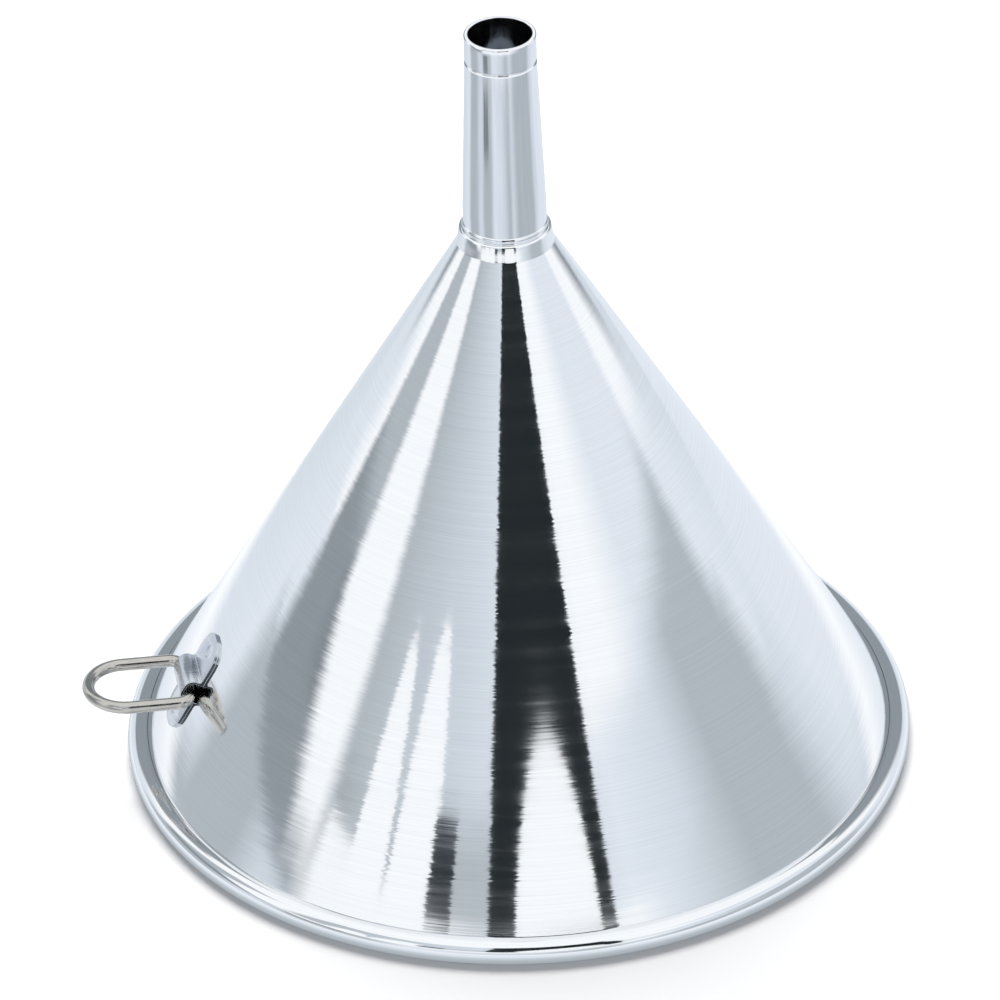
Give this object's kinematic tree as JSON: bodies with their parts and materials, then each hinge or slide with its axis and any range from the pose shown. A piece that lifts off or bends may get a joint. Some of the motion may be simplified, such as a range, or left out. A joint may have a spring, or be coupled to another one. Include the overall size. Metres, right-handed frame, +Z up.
{
  "type": "narrow-spout funnel with hanging ring",
  "caption": "Spun aluminium funnel with a rolled rim, a tapered spout and a wire hanging ring hinged in a pressed strap, standing on its mouth.",
  "frame": {"origin": "middle of the mouth, in the plane of the rim's flat underside", "axes": "+Z up along the spout's axis, -X towards the hanging ring, +Y across the funnel along the ring's hinge"},
  "size_m": [0.1803, 0.171, 0.1744],
  "materials": {
    "polished_aluminium": "bright spun and buffed, with fine turning lines round the axis",
    "strap_aluminium": "pressed sheet, satin",
    "bright_wire": "drawn steel wire, bright nickel plated"
  },
  "bodies": {
    "funnel": {"funnel_cone": "polished_aluminium", "spout_tube": "polished_aluminium", "hanger_strap": "strap_aluminium"},
    "ring": {"hanger_ring": "bright_wire"}
  },
  "joints": [
    {"name": "ring_hinge", "type": "hinge", "parent": "funnel", "child": "ring", "pos_m": [-0.07227, 0, 0.02312], "axis": [0, 1, 0], "range_deg": [-54, 118]}
  ]
}
